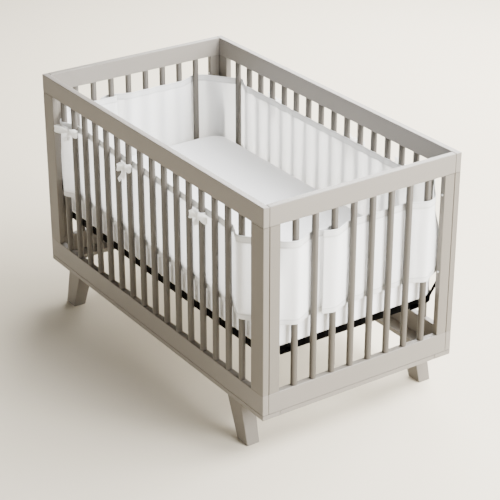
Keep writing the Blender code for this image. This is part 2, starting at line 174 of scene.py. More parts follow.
# The bows: the slat that each goes round and how far along from it its knot sits, each loop's
# length, swing outwards and rise, and where its tails hang to
BOWS = {
    "front": (
        {"slat": 1, "knot": -0.008, "left": {"long": 0.085, "out": 0.014, "rise": -0.013},
         "right": {"long": 0.062, "out": 0.003, "rise": 0.007},
         "tails": ((-0.030, -0.008, -0.042), (-0.008, -0.006, -0.036))},
        {"slat": 6, "knot": 0.003, "left": {"long": 0.047, "out": 0.004, "rise": -0.014},
         "right": {"long": 0.044, "out": 0.003, "rise": 0.009},
         "tails": ((-0.037, -0.006, -0.058), (-0.012, -0.004, -0.042))},
        {"slat": 12, "knot": 0.003, "left": {"long": 0.043, "out": 0.004, "rise": -0.013},
         "right": {"long": 0.056, "out": 0.002, "rise": -0.002},
         "tails": ((-0.019, -0.004, -0.041), (-0.006, -0.003, -0.034))},
    ),
    "back": (
        {"slat": 3, "knot": 0.002, "left": {"long": 0.046, "out": 0.004, "rise": -0.012},
         "right": {"long": 0.052, "out": 0.003, "rise": 0.005},
         "tails": ((-0.032, -0.006, -0.050), (-0.008, -0.004, -0.040))},
        {"slat": 9, "knot": -0.003, "left": {"long": 0.058, "out": 0.014, "rise": -0.010},
         "right": {"long": 0.046, "out": 0.003, "rise": 0.004},
         "tails": ((-0.024, -0.005, -0.045), (0.006, -0.004, -0.038))},
        {"slat": 13, "knot": 0.003, "left": {"long": 0.044, "out": 0.004, "rise": -0.012},
         "right": {"long": 0.054, "out": 0.002, "rise": 0.006},
         "tails": ((-0.028, -0.005, -0.052), (-0.010, -0.004, -0.036))},
    ),
}
BOW_HEIGHT = 0.715
RIBBON = 0.0007
PLEATS = 3
PLEAT_DEPTH = 0.08
BAND_OUT = 0.0009
BAND_RADIUS = SLAT_RADIUS + BAND_OUT
BAND_HEIGHT = 0.010
BAND_LEG = 0.006
BAND_STEPS = 16
KNOT_SIZE = Vector((0.016, 0.011, 0.018))
KNOT_OUT = SLAT_RADIUS + JOINT + KNOT_SIZE.y / 2
KNOT_ROUND = 0.72
KNOT_WRINKLES = 7
WRINKLE_DEPTH = 0.05
LOOP_STEPS = 28
LOOP_LEAN = 0.22
LOOP_DEPTH = 0.014
LOOP_INNER = 0.60
LOOP_HEIGHT = 0.030
LOOP_PINCH = 0.010
LOOP_TAPER = 0.78
LOOP_MOUTH = 0.04
TAIL_WIDTH = 0.016
TAIL_PINCH = 0.008
TAIL_STEPS = 12
TAIL_WAVE = 0.0016
TAIL_TURNS = 1.1
TAIL_SLANT = 0.30

# The photograph's camera, for a picture 500 pixels wide
PICTURE = 500
FOCAL_PIXELS = 1641.0
SENSOR = 36.0
CAMERA_AT = (4.2425, -2.8402, 2.8518)
CAMERA_TURN = 55.816
CAMERA_DOWN = 26.112

# The pale backdrop: how strongly it lights the scene, and how bright the camera sees it
WORLD_STRENGTH = 0.02
BACKDROP_STRENGTH = 3.2
WORLD_COLOUR = (1.0, 0.99, 0.975)
FLOOR_FADE = {"start": 4.6, "end": 6.8}

# Soft lights, mostly from behind and from the right, with a little from low in front
LIT_POINT = (0.0, 0.0, 0.5)
LIGHTS = {
    "right": {"at": (4.6, 1.2, 2.0), "size": 2.6, "power": 700.0, "colour": (0.985, 0.99, 1.0)},
    "high": {"at": (2.4, 2.0, 4.2), "size": 3.0, "power": 860.0, "colour": (0.99, 0.995, 1.0)},
    "back": {"at": (0.0, 4.5, 2.6), "size": 2.6, "power": 800.0, "colour": (1.0, 0.99, 0.97)},
    "back_left": {"at": (-3.0, 3.0, 3.0), "size": 2.6, "power": 560.0,
                  "colour": (1.0, 0.99, 0.97)},
    "left_front": {"at": (-3.6, -2.6, 1.7), "size": 2.4, "power": 14.0,
                   "colour": (1.0, 0.97, 0.93)},
    "front_low": {"at": (0.9, -4.2, 0.7), "size": 1.2, "power": 98.0,
                  "colour": (1.0, 0.96, 0.90)},
}

# The paint of the rails and base boards, and darker copies of it on the stiles and feet and,
# darker still, on the slats: painted shade for the shade on these upright parts
RAIL_COLOUR = (0.168, 0.152, 0.130)
STILE_SHADED_COLOUR = (0.136, 0.121, 0.100)
SLAT_SHADED_COLOUR = (0.078, 0.069, 0.057)
BRUSH_STRETCH = 0.06

# The other colours
STEEL_COLOUR = (0.0008, 0.0008, 0.0009)
BRIGHT_STEEL_COLOUR = (0.560, 0.560, 0.550)
SHEET_COLOUR = (0.900, 0.900, 0.908)
MESH_COLOUR = (0.955, 0.955, 0.950)
SATIN_COLOUR = (0.960, 0.960, 0.950)
# The hems' satin is greyer than the ribbons': painted shade for the shade on the hem band
HEM_SHADED_COLOUR = (0.780, 0.780, 0.770)
THREAD_COLOUR = (0.360, 0.360, 0.350)
FLOOR_COLOUR = (0.610, 0.552, 0.440)

# How the mesh's holes and the hems' stitches are drawn in their cloth
HOLE_EDGE = 0.25
HOLE_CLEAR = 0.25
STITCH_THREAD = {"outer": 0.0011, "inner": 0.0004}
STITCH_ENDS = {"bare": -0.8, "full": -0.3}
STITCH_SUNK = 4.0


# Materials

def node(tree, kind, inputs=None, **settings):
    """A new node with its settings, and each input linked or given its value."""
    made = tree.nodes.new(kind)
    for name, value in settings.items():
        setattr(made, name, value)
    for name, value in (inputs or {}).items():
        if isinstance(value, bpy.types.NodeSocket):
            tree.links.new(value, made.inputs[name])
        else:
            made.inputs[name].default_value = value
    return made


def maths(tree, operation, first, second=0.0, third=0.0):
    return node(tree, "ShaderNodeMath", {0: first, 1: second, 2: third},
                operation=operation).outputs[0]


def fade(tree, value, start, end, low=0.0, high=1.0):
    """A smooth change from low to high, as the value goes from start to end."""
    return node(tree, "ShaderNodeMapRange", {
        "Value": value, "From Min": start, "From Max": end, "To Min": low, "To Max": high},
        interpolation_type="SMOOTHSTEP").outputs["Result"]


def effect(name, inputs, outputs):
    """A shader node group with named inputs and outputs."""
    tree = bpy.data.node_groups.new(name, "ShaderNodeTree")
    for in_out, sockets in (("INPUT", inputs), ("OUTPUT", outputs)):
        for socket, kind in sockets.items():
            tree.interface.new_socket(socket, in_out=in_out, socket_type=f"NodeSocket{kind}")
    given = tree.nodes.new("NodeGroupInput").outputs
    results = tree.nodes.new("NodeGroupOutput").inputs
    return tree, given, results


def use(tree, group, inputs):
    return node(tree, "ShaderNodeGroup", inputs, node_tree=group).outputs


def uneven_finish():
    """Soft patches of tone and gloss, and a fine grain."""
    tree, given, results = effect(
        "uneven_finish",
        {"Vector": "Vector", "Colour": "Color", "Patches": "Float", "Tone": "Float",
         "Grain": "Float", "Roughness": "Float", "Spread": "Float"},
        {"Colour": "Color", "Roughness": "Float", "Height": "Float"})
    patches = node(tree, "ShaderNodeTexNoise", {
        "Vector": given["Vector"], "Scale": given["Patches"], "Detail": 3.0})
    swing = maths(tree, "SUBTRACT", patches.outputs["Fac"], 0.5)
    tone = maths(tree, "MULTIPLY_ADD", swing, given["Tone"], 1.0)
    shaded = node(tree, "ShaderNodeVectorMath", {0: given["Colour"], "Scale": tone},
                  operation="SCALE")
    gloss = maths(tree, "MULTIPLY_ADD", swing, given["Spread"], given["Roughness"])
    grain = node(tree, "ShaderNodeTexNoise", {
        "Vector": given["Vector"], "Scale": given["Grain"], "Detail": 4.0})
    tree.links.new(shaded.outputs[0], results["Colour"])
    tree.links.new(gloss, results["Roughness"])
    tree.links.new(grain.outputs["Fac"], results["Height"])
    return tree


def woven_threads():
    """Threads over and under each other, this many to a metre each way."""
    tree, given, results = effect(
        "woven_threads",
        {"Vector": "Vector", "Across": "Float", "Along": "Float"}, {"Height": "Float"})
    axes = node(tree, "ShaderNodeSeparateXYZ", {0: given["Vector"]}).outputs
    waves = []
    for axis, count in (("X", "Across"), ("Y", "Along")):
        turns = maths(tree, "MULTIPLY", axes[axis], given[count])
        waves.append(maths(tree, "SINE", maths(tree, "MULTIPLY", turns, math.pi)))
    crossing = maths(tree, "MULTIPLY", *waves)
    tree.links.new(maths(tree, "MULTIPLY_ADD", crossing, 0.5, 0.5), results["Height"])
    return tree


def open_net():
    """Round holes in a diagonal net: 1 in a hole and 0 on the yarn."""
    tree, given, results = effect(
        "open_net", {"Vector": "Vector", "Holes": "Float", "Yarn": "Float"}, {"Hole": "Float"})
    axes = node(tree, "ShaderNodeSeparateXYZ", {0: given["Vector"]}).outputs
    waves = []
    for axis in "XY":
        turns = maths(tree, "MULTIPLY", axes[axis], given["Holes"])
        waves.append(maths(tree, "COSINE", maths(tree, "MULTIPLY", turns, 2 * math.pi)))
    hollow = maths(tree, "SUBTRACT", maths(tree, "ADD", *waves), given["Yarn"])
    tree.links.new(fade(tree, hollow, -HOLE_EDGE, HOLE_EDGE), results["Hole"])
    return tree


def stitch_row():
    """A row of stitches at a height: 1 on the thread and 0 beside it."""
    tree, given, results = effect(
        "stitch_row", {"Vector": "Vector", "Height": "Float", "Stitches": "Float"},
        {"Thread": "Float"})
    axes = node(tree, "ShaderNodeSeparateXYZ", {0: given["Vector"]}).outputs
    away = maths(tree, "ABSOLUTE", maths(tree, "SUBTRACT", axes["Y"], given["Height"]))
    line = fade(tree, away, STITCH_THREAD["outer"], STITCH_THREAD["inner"])
    turns = maths(tree, "MULTIPLY", axes["X"], given["Stitches"])
    wave = maths(tree, "COSINE", maths(tree, "MULTIPLY", turns, 2 * math.pi))
    dash = fade(tree, wave, STITCH_ENDS["bare"], STITCH_ENDS["full"])
    tree.links.new(maths(tree, "MULTIPLY", line, dash), results["Thread"])
    return tree


UNEVEN_FINISH = uneven_finish()
WOVEN_THREADS = woven_threads()
OPEN_NET = open_net()
STITCH_ROW = stitch_row()


def surface(name, **constants):
    """A material, its tree and its shader with constant values on the shader's own sockets."""
    material = bpy.data.materials.new(name)
    material.use_nodes = True
    tree = material.node_tree
    shader = tree.nodes["Principled BSDF"]
    for socket, value in constants.items():
        shader.inputs[socket.replace("_", " ")].default_value = value
    return material, tree, shader


def raise_surface(tree, shader, height, distance, strength=1.0):
    bump = node(tree, "ShaderNodeBump", {
        "Height": height, "Distance": distance, "Strength": strength})
    tree.links.new(bump.outputs["Normal"], shader.inputs["Normal"])


def finish_with(tree, shader, vector, colour, roughness, spread, patches, tone, grain):
    finish = use(tree, UNEVEN_FINISH, {
        "Vector": vector, "Colour": (*colour, 1.0), "Patches": patches, "Tone": tone,
        "Grain": grain, "Roughness": roughness, "Spread": spread})
    tree.links.new(finish["Colour"], shader.inputs["Base Color"])
    tree.links.new(finish["Roughness"], shader.inputs["Roughness"])
    return finish["Height"]


def paint(name, direction, colour):
    """Warm grey satin paint, brushed along the wood."""
    material, tree, shader = surface(name, Specular_IOR_Level=0.4)
    place = node(tree, "ShaderNodeTexCoord").outputs["Object"]
    stretch = [BRUSH_STRETCH if axis == direction else 1.0 for axis in "xyz"]
    brushed = node(tree, "ShaderNodeMapping", {"Vector": place, "Scale": stretch})
    height = finish_with(tree, shader, brushed.outputs[0], colour, roughness=0.45,
                         spread=0.16, patches=22.0, tone=0.07, grain=420.0)
    raise_surface(tree, shader, height, distance=0.00025, strength=0.5)
    return material


def powder_coat():
    material, tree, shader = surface("black_powder_coat", Metallic=0.0, Specular_IOR_Level=0.02)
    place = node(tree, "ShaderNodeTexCoord").outputs["Object"]
    height = finish_with(tree, shader, place, STEEL_COLOUR, roughness=0.45, spread=0.2,
                         patches=14.0, tone=0.5, grain=1400.0)
    raise_surface(tree, shader, height, distance=0.0002, strength=0.5)
    return material


def bright_steel():
    """Zinc-plated steel, on the small bolts that hold the panels."""
    material, tree, shader = surface("bright_steel", Metallic=1.0)
    place = node(tree, "ShaderNodeTexCoord").outputs["Object"]
    height = finish_with(tree, shader, place, BRIGHT_STEEL_COLOUR, roughness=0.35, spread=0.2,
                         patches=60.0, tone=0.2, grain=2400.0)
    raise_surface(tree, shader, height, distance=0.0001, strength=0.4)
    return material


def cotton():
    """Plain white percale, whose threads run with the mattress."""
    material, tree, shader = surface("cotton_sheet", Sheen_Weight=0.25, Sheen_Roughness=0.5,
                                     Specular_IOR_Level=0.2)
    place = node(tree, "ShaderNodeTexCoord").outputs["Object"]
    finish_with(tree, shader, place, SHEET_COLOUR, roughness=0.9, spread=0.05,
                patches=7.0, tone=0.03, grain=300.0)
    axes = node(tree, "ShaderNodeSeparateXYZ", {0: place}).outputs
    drawn = node(tree, "ShaderNodeCombineXYZ", {
        0: maths(tree, "ADD", axes["X"], axes["Z"]), 1: maths(tree, "ADD", axes["Y"], axes["Z"])})
    threads = use(tree, WOVEN_THREADS, {"Vector": drawn.outputs[0], "Across": 1800.0,
                                        "Along": 1800.0})
    raise_surface(tree, shader, threads["Height"], distance=0.00012, strength=0.6)
    return material


def flat_place(tree):
    """Where a point is on the cloth laid flat, in metres: along it, and its height."""
    return node(tree, "ShaderNodeUVMap", uv_map="cloth").outputs["UV"]


def let_light_through(tree, shader, colour, share):
    """Thin cloth glows with part of the light that falls on its other face."""
    through = node(tree, "ShaderNodeBsdfTranslucent", {"Color": (*colour, 1.0)})
    both = node(tree, "ShaderNodeMixShader", {
        0: share, 1: shader.outputs["BSDF"], 2: through.outputs["BSDF"]})
    tree.links.new(both.outputs["Shader"], tree.nodes["Material Output"].inputs["Surface"])


def mesh_cloth():
    """White breathable mesh: small holes in a soft knitted net."""
    material, tree, shader = surface("mesh_cloth", Sheen_Weight=0.3, Sheen_Roughness=0.6,
                                     Specular_IOR_Level=0.15)
    let_light_through(tree, shader, MESH_COLOUR, share=0.45)
    place = flat_place(tree)
    finish_with(tree, shader, place, MESH_COLOUR, roughness=0.92, spread=0.05,
                patches=9.0, tone=0.03, grain=500.0)
    hole = use(tree, OPEN_NET, {"Vector": place, "Holes": 420.0, "Yarn": 0.55})["Hole"]
    tree.links.new(maths(tree, "MULTIPLY_ADD", hole, -HOLE_CLEAR, 1.0), shader.inputs["Alpha"])
    raise_surface(tree, shader, maths(tree, "SUBTRACT", 1.0, hole), distance=0.0003, strength=0.6)
    return material


def satin(name, colour, across, along, share, stitched=()):
    """White satin, whose long floats give it its gloss, stitched at some heights."""
    material, tree, shader = surface(name, Sheen_Weight=0.35, Sheen_Roughness=0.3,
                                     Specular_IOR_Level=0.5)
    let_light_through(tree, shader, colour, share)
    place = flat_place(tree)
    finish_with(tree, shader, place, colour, roughness=0.42, spread=0.12,
                patches=30.0, tone=0.04, grain=600.0)
    threads = use(tree, WOVEN_THREADS, {"Vector": place, "Across": across, "Along": along})
    height = threads["Height"]
    for level in stitched:
        row = use(tree, STITCH_ROW, {"Vector": place, "Height": level, "Stitches": 300.0})
        dyed = node(tree, "ShaderNodeMix", data_type="RGBA")
        tree.links.new(row["Thread"], dyed.inputs["Factor"])
        tree.links.new(shader.inputs["Base Color"].links[0].from_socket, dyed.inputs["A"])
        dyed.inputs["B"].default_value = (*THREAD_COLOUR, 1.0)
        tree.links.new(dyed.outputs["Result"], shader.inputs["Base Color"])
        sunk = maths(tree, "MULTIPLY", row["Thread"], STITCH_SUNK)
        height = maths(tree, "SUBTRACT", height, sunk)
    raise_surface(tree, shader, height, distance=0.0001, strength=0.6)
    return material


# The stiles' and feet's paint (along z) and the slats' paint are darker copies of the rails'
# paint: painted shade
PAINT = {direction: paint(f"paint_along_{direction}", direction, colour)
         for direction, colour in zip("xyz", (RAIL_COLOUR, RAIL_COLOUR, STILE_SHADED_COLOUR))}
SLAT_SHADED_PAINT = paint("slat_paint_with_painted_shade", "z", SLAT_SHADED_COLOUR)
POWDER_COAT = powder_coat()
BRIGHT_STEEL = bright_steel()
COTTON = cotton()
MESH_CLOTH = mesh_cloth()
# The hems take the greyer satin, which is painted shade
HEM_SATIN_SHADED = satin("hem_satin_with_painted_shade", HEM_SHADED_COLOUR, across=300.0, along=2600.0, share=0.30,
                  stitched=HEM_STITCHES)
RIBBON_SATIN = satin("ribbon_satin", SATIN_COLOUR, across=300.0, along=3000.0, share=0.60)


# Ways of making a piece

def keep(name, bm, material, replaces=(), sharp=None):
    """A finished piece of the object, riding on its one body."""
    mesh = bpy.data.meshes.new(name)
    bm.to_mesh(mesh)
    bm.free()
    if sharp:
        mesh.shade_smooth()
        mesh.set_sharp_from_angle(angle=math.radians(sharp))
    mesh.materials.append(material)
    piece = bpy.data.objects.new(name, mesh)
    bpy.context.scene.collection.objects.link(piece)
    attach(piece, "root")
    if replaces:
        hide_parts(*replaces)
    return piece


def bevel(bm, edges, width, steps):
    bmesh.ops.bevel(bm, geom=edges, offset=width, segments=steps, profile=0.5,
                    affect="EDGES", material=-1)


def block(low, high):
    bm = bmesh.new()
    bmesh.ops.create_cube(bm, size=1.0)
    bmesh.ops.scale(bm, vec=high - low, verts=bm.verts)
    bmesh.ops.translate(bm, vec=(low + high) / 2, verts=bm.verts)
    return bm


def lies_on(edge, axis, level):
    return all(abs(vert.co[axis] - level) < JOINT / 2 for vert in edge.verts)


def upright_edges(bm, low, high):
    """The edges of a block that lie neither round its top nor round its underside."""
    return [edge for edge in bm.edges
            if not (lies_on(edge, 2, low.z) or lies_on(edge, 2, high.z))]


def joined(parts):
    """One bmesh that takes in the meshes of all the parts."""
    bm = bmesh.new()
    for part in parts:
        mesh = bpy.data.meshes.new("part")
        part.to_mesh(mesh)
        part.free()
        bm.from_mesh(mesh)
        bpy.data.meshes.remove(mesh)
    return bm


def lay_flat(bm, flat):
    """The cloth's own UV map, from where each of its points is on the cloth laid flat."""
    layer = bm.loops.layers.uv.new("cloth")
    for face in bm.faces:
        for corner in face.loops:
            corner[layer].uv = flat[corner.vert]


def shade_evenly(piece):
    piece.modifiers.new("even shading", "WEIGHTED_NORMAL").keep_sharp = True


def thicken(piece, thickness):
    solid = piece.modifiers.new("thickness", "SOLIDIFY")
    solid.thickness = thickness
    solid.offset = 0.0
    solid.use_even_offset = True


def round_edges(piece, width, steps):
    rounding = piece.modifiers.new("rounding", "BEVEL")
    rounding.width = width
    rounding.segments = steps
    rounding.limit_method = "ANGLE"
    rounding.angle_limit = SQUARE_EDGE


def subdivide(piece, levels):
    finer = piece.modifiers.new("finer", "SUBSURF")
    finer.levels = levels
    finer.render_levels = levels


# The crib

def board(name, low, high, direction, flush=(), crisp=(), replaces=()):
    """A painted board with eased edges, nearly square round its crisp faces.

    A face that butts a neighbour flush has square edges.
    """
    bm = block(low, high)
    kept = (*flush, *crisp)
    bevel(bm, [edge for edge in bm.edges if not any(lies_on(edge, *face) for face in kept)],
          EASE, EASE_STEPS)
    bevel(bm, [edge for edge in bm.edges if any(lies_on(edge, *face) for face in crisp)],
          CRISP_EASE, steps=2)
    shade_evenly(keep(name, bm, PAINT[direction], replaces, sharp=40))


def slat(name, x, y, replaces):
    """A round slat with small shoulders where it enters the rails."""
    bm = bmesh.new()
    bmesh.ops.create_cone(bm, cap_ends=True, segments=SLAT_SIDES, radius1=SLAT_RADIUS,
                          radius2=SLAT_RADIUS, depth=SLAT_TOP - SLAT_BOTTOM)
    rims = [edge for edge in bm.edges
            if any(len(face.verts) == SLAT_SIDES for face in edge.link_faces)]
    bevel(bm, rims, SLAT_SHOULDER, steps=2)
    bmesh.ops.translate(bm, vec=(x, y, (SLAT_TOP + SLAT_BOTTOM) / 2), verts=bm.verts)
    # The slats' darker paint is painted shade
    keep(name, bm, SLAT_SHADED_PAINT, replaces, sharp=50)


def long_side(side):
    sign = math.copysign(1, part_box(f"{side}_top_rail")[0].y)
    for part in ("top_rail", "bottom_rail"):
        name = f"{side}_{part}"
        low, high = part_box(name)
        crisp = ((2, low.z),) if part == "bottom_rail" else ()
        board(f"{name}_board", low, high, "x", crisp=crisp, replaces=(name,))
    for end in ("left", "right"):
        name = f"{side}_{end}_stile"
        low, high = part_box(name)
        board(f"{name}_board", low, high, "z", ((2, low.z), (2, high.z)), replaces=(name,))
    for number, x in enumerate(LONG_PLACES, 1):
        name = f"{side}_slat_{number:02d}"
        slat(f"{name}_dowel", x, sign * LONG_PLANE, (name,))


def end_panel(end, sign):
    """Two rails, two stiles and eight slats between the long sides."""
    panel = (f"{end}_end_panel",)
    half = INSIDE_WIDTH / 2 - JOINT
    near, far = sorted((sign * (END_PLANE - BOARD / 2), sign * (END_PLANE + BOARD / 2)))
    rails = {"bottom": (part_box(panel[0])[0].z, SLAT_BOTTOM - JOINT),
             "top": (SLAT_TOP + JOINT, HEIGHT)}
    for height, (bottom, top) in rails.items():
        crisp = ((2, bottom),) if height == "bottom" else ()
        board(f"{end}_end_{height}_rail", Vector((near, -half, bottom)),
              Vector((far, half, top)), "y", crisp=crisp, replaces=panel)
    stile_face = half - END_STILE + JOINT
    for side, sign_y in (("front", -1), ("back", 1)):
        start, stop = sorted((sign_y * stile_face, sign_y * (half - SHADOW_GAP)))
        board(f"{end}_end_{side}_stile", Vector((near, start, SLAT_BOTTOM)),
              Vector((far, stop, SLAT_TOP)), "z",
              ((2, SLAT_BOTTOM), (2, SLAT_TOP)), replaces=panel)
    for number, y in enumerate(END_PLACES, 1):
        slat(f"{end}_end_slat_{number}", sign * END_PLANE, y, panel)
    bolts = [button(BOLT_RADIUS, BOLT_HEAD, (sign * END_PLANE, sign_y * stile_face, z),
                    (0, -sign_y, 0)) for sign_y in (-1, 1) for z in STILE_BOLTS]
    keep(f"{end}_end_bolts", joined(bolts), BRIGHT_STEEL, sharp=40)


def base_board(name, direction):
    """A board under the rails, with a thin shadow gap between it and them."""
    low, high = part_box(name)
    top = high - Vector((0.0, 0.0, SHADOW_GAP))
    board(name.replace("_board", "_strip"), low, top, direction, crisp=((2, top.z),),
          replaces=(name,))


def foot(side, end):
    """A tapered foot that leans outwards to the floor."""
    name = f"{side}_{end}_foot"
    sign_x, sign_y = (math.copysign(1, value) for value in middle_of(name).xy)
    bm = bmesh.new()
    bmesh.ops.create_cube(bm, size=1.0)
    for vert in bm.verts:
        is_top = vert.co.z > 0
        size = FOOT_TOP if is_top else FOOT_FLOOR
        vert.co.x = sign_x * size["x"][vert.co.x > 0]
        vert.co.y = sign_y * size["y"][vert.co.y > 0]
        vert.co.z = FOOT_HEIGHT if is_top else 0.0
    bm.normal_update()
    bmesh.ops.recalc_face_normals(bm, faces=bm.faces)
    bevel(bm, [edge for edge in bm.edges if not lies_on(edge, 2, FOOT_HEIGHT)], EASE, EASE_STEPS)
    # The feet take the stiles' darker paint, which is painted shade
    shade_evenly(keep(f"{name}_block", bm, PAINT["z"], (name,), sharp=40))


def crib():
    for side in ("front", "back"):
        long_side(side)
        base_board(f"{side}_base_board", "x")
        for end in ("left", "right"):
            foot(side, end)
    for end, sign in (("left", -1), ("right", 1)):
        end_panel(end, sign)
        base_board(f"{end}_base_board", "y")


# The mattress and its frame

def crossed_waves(x, y, height, waves):
    """Waves that cross: x and y give how closely each one's crests follow each other."""
    for wave in waves:
        height *= math.sin(wave["x"] * x + wave["y"] * y + wave["phase"])
    return height


def sheet_lift(x, y, z, top, half_x, half_y):
    """How far the sheet stands out of the mattress's plain form, along its surface's normal."""
    in_x, in_y = half_x - abs(x), half_y - abs(y)
    crown = MATTRESS_CROWN * (1 - math.exp(-max(min(in_x, in_y), 0.0) / CROWN_EASE))
    near = max(0.0, 1.0 - math.hypot(in_x, in_y) / CORNER_PULL["reach"])
    turn = math.atan2(in_y + CORNER_PULL["out"], in_x + CORNER_PULL["out"])
    pull = CORNER_PULL["height"] * near * near * math.sin(CORNER_PULL["folds"] * turn)
    drift = crossed_waves(x, y, **SHEET_DRIFT)
    ripple = crossed_waves(x, y, **SIDE_RIPPLE) if z < top - SIDES_BELOW else 0.0
    return (crown if z > top - CROWN_BAND else 0.0) + pull + drift + ripple


def mattress():
    """Firm foam in a fitted sheet, crowned, with the sheet drawn in at its corners."""
    low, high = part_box("mattress")
    inset = Vector((MATTRESS_INSET, MATTRESS_INSET, 0.0))
    lowest, highest = low + inset, high - inset - Vector((0, 0, MATTRESS_CROWN))
    bm = block(lowest, highest)
    bevel(bm, upright_edges(bm, lowest, highest), MATTRESS_CORNER, steps=12)
    upper = [edge for edge in bm.edges if lies_on(edge, 2, highest.z)]
    lower = [edge for edge in bm.edges if lies_on(edge, 2, lowest.z)]
    bevel(bm, upper, MATTRESS_TOP_EDGE, steps=5)
    bevel(bm, lower, MATTRESS_LOW_EDGE, steps=3)
    piece = keep("sheeted_mattress", bm, COTTON, ("mattress",))
    remesh = piece.modifiers.new("even faces", "REMESH")
    remesh.mode = "VOXEL"
    remesh.voxel_size = MATTRESS_GRAIN
    even = bpy.data.meshes.new_from_object(
        piece.evaluated_get(bpy.context.evaluated_depsgraph_get()))
    piece.modifiers.clear()
    bm = bmesh.new()
    bm.from_mesh(even)
    bpy.data.meshes.remove(even)
    bm.normal_update()
    for vert in bm.verts:
        if vert.co.z > low.z + MATTRESS_TOP_EDGE:
            vert.co += vert.normal * sheet_lift(*vert.co, highest.z, high.x, high.y)
    bm.to_mesh(piece.data)
    bm.free()
    piece.data.shade_smooth()


def blunt(bm):
    """Takes the sharpness off a piece of steel strip's square edges."""
    bm.normal_update()
    square = [edge for edge in bm.edges if edge.calc_face_angle(0.0) > SQUARE_EDGE]
    bevel(bm, square, STEEL_EASE, steps=2)


def ring(low, high, wall):
    """A rim with thin walls and rounded corners, open above and below."""
    bm = block(low, high)
    bevel(bm, upright_edges(bm, low, high), FRAME_CORNER, steps=10)
    bm.normal_update()
    flats = [face for face in bm.faces if abs(face.normal.z) > 0.5]
    bmesh.ops.inset_individual(bm, faces=flats, thickness=wall)
    mouths = [edge for face in flats for edge in face.edges]
    bmesh.ops.delete(bm, geom=flats, context="FACES_ONLY")
    bmesh.ops.bridge_loops(bm, edges=mouths)
    blunt(bm)
    return bm


def button(radius, height, at, towards):
    """A low domed head that stands on a face."""
    bm = bmesh.new()
    bmesh.ops.create_cone(bm, cap_ends=True, segments=16, radius1=radius,
                          radius2=radius * BUTTON_TAPER, depth=height)
    brow = [edge for edge in bm.edges if lies_on(edge, 2, height / 2)]
    bevel(bm, brow, height / 3, steps=2)
    bmesh.ops.translate(bm, vec=(0, 0, height / 2), verts=bm.verts)
    spin = Vector((0, 0, 1)).rotation_difference(Vector(towards)).to_matrix()
    bmesh.ops.rotate(bm, matrix=spin, verts=bm.verts)
    bmesh.ops.translate(bm, vec=at, verts=bm.verts)
    return bm


def mean_x(bm):
    return sum(vert.co.x for vert in bm.verts) / len(bm.verts)


def hanger(sign_x, sign_y):
    """A strap from the rim's end up the inside of an end stile, with its two bolts."""
    reach = {"rim": FRAME_LENGTH / 2 + FRAME_WALL / 2, "stile":
             INSIDE_LENGTH / 2 - JOINT - FRAME_WALL / 2}
    leans = [math.atan2(after["y"] - before["y"], after["z"] - before["z"])
             for before, after in zip(HANGER_COURSE, HANGER_COURSE[1:])]
    turns = [(one + other) / 2 for one, other in zip(leans[:1] + leans, leans + leans[-1:])]
    bm = bmesh.new()
    bmesh.ops.create_grid(bm, x_segments=len(leans), y_segments=1, size=0.5)
    for vert in bm.verts:
        number = round((vert.co.x + 0.5) * len(leans))
        row, turn = HANGER_COURSE[number], turns[number]
        across = vert.co.y * HANGER_WIDTH
        vert.co = (sign_x * reach[row["x"]], sign_y * (row["y"] + across * math.cos(turn)),
                   row["z"] - across * math.sin(turn))
    bm.normal_update()
    middle = mean_x(bm)
    bmesh.ops.solidify(bm, geom=bm.faces[:], thickness=FRAME_WALL)
    bmesh.ops.translate(bm, vec=(middle - mean_x(bm), 0, 0), verts=bm.verts)
    bm.normal_update()
    bmesh.ops.recalc_face_normals(bm, faces=bm.faces)
    bolts = []
    for row, out in ((HANGER_COURSE[0], 1), (HANGER_COURSE[-1], -1)):
        x = sign_x * (reach[row["x"]] + out * FRAME_WALL / 2)
        at = (x, sign_y * row["y"], row["z"] - (2 * BOLT_RADIUS if out < 0 else 0.0))
        bolts.append(button(BOLT_RADIUS, BOLT_HEAD, at, (out * sign_x, 0, 0)))
    return [bm, *bolts]


def lug(sign_x, sign_y, rim_low, rim_high):
    """A plate on the rim's end, a little deeper than the rim, that a hanger is bolted to."""
    middle = sign_x * (FRAME_LENGTH - FRAME_WALL) / 2
    ends = sorted(sign_y * LUG[side] for side in ("low", "high"))
    bm = block(Vector((middle - FRAME_WALL / 2, ends[0], rim_low.z - LUG["drop"])),
               Vector((middle + FRAME_WALL / 2, ends[1], (rim_low.z + rim_high.z) / 2)))
    blunt(bm)
    return bm


def mattress_frame():
    """A steel rim with flat riveted straps across it, hung from the crib's ends."""
    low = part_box("mattress_frame")[0]
    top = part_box("mattress")[0].z - JOINT
    rim_low = Vector((-FRAME_LENGTH / 2, -FRAME_WIDTH / 2, low.z + LUG["drop"]))
    rim_high = Vector((FRAME_LENGTH / 2, FRAME_WIDTH / 2, top))
    parts = [ring(rim_low, rim_high, FRAME_WALL)]
    pitch = FRAME_LENGTH / (STRAPS + 1)
    for number in range(STRAPS):
        x = (number + 1) * pitch - FRAME_LENGTH / 2
        corner = Vector((x - STRAP_WIDTH / 2, rim_low.y + FRAME_WALL / 2,
                         top - JOINT - FRAME_WALL))
        strap = block(corner, Vector((x + STRAP_WIDTH / 2, -corner.y, top - JOINT)))
        blunt(strap)
        parts.append(strap)
        for sign_y in (-1, 1):
            at = (x, sign_y * (rim_high.y - RIVET_IN), corner.z)
            parts.append(button(RIVET_RADIUS, RIVET_HEAD, at, (0, 0, -1)))
    for sign_x in (-1, 1):
        for sign_y in (-1, 1):
            parts += [lug(sign_x, sign_y, rim_low, rim_high), *hanger(sign_x, sign_y)]
    keep("strap_frame", joined(parts), POWDER_COAT, ("mattress_frame",), sharp=40)


# The liner

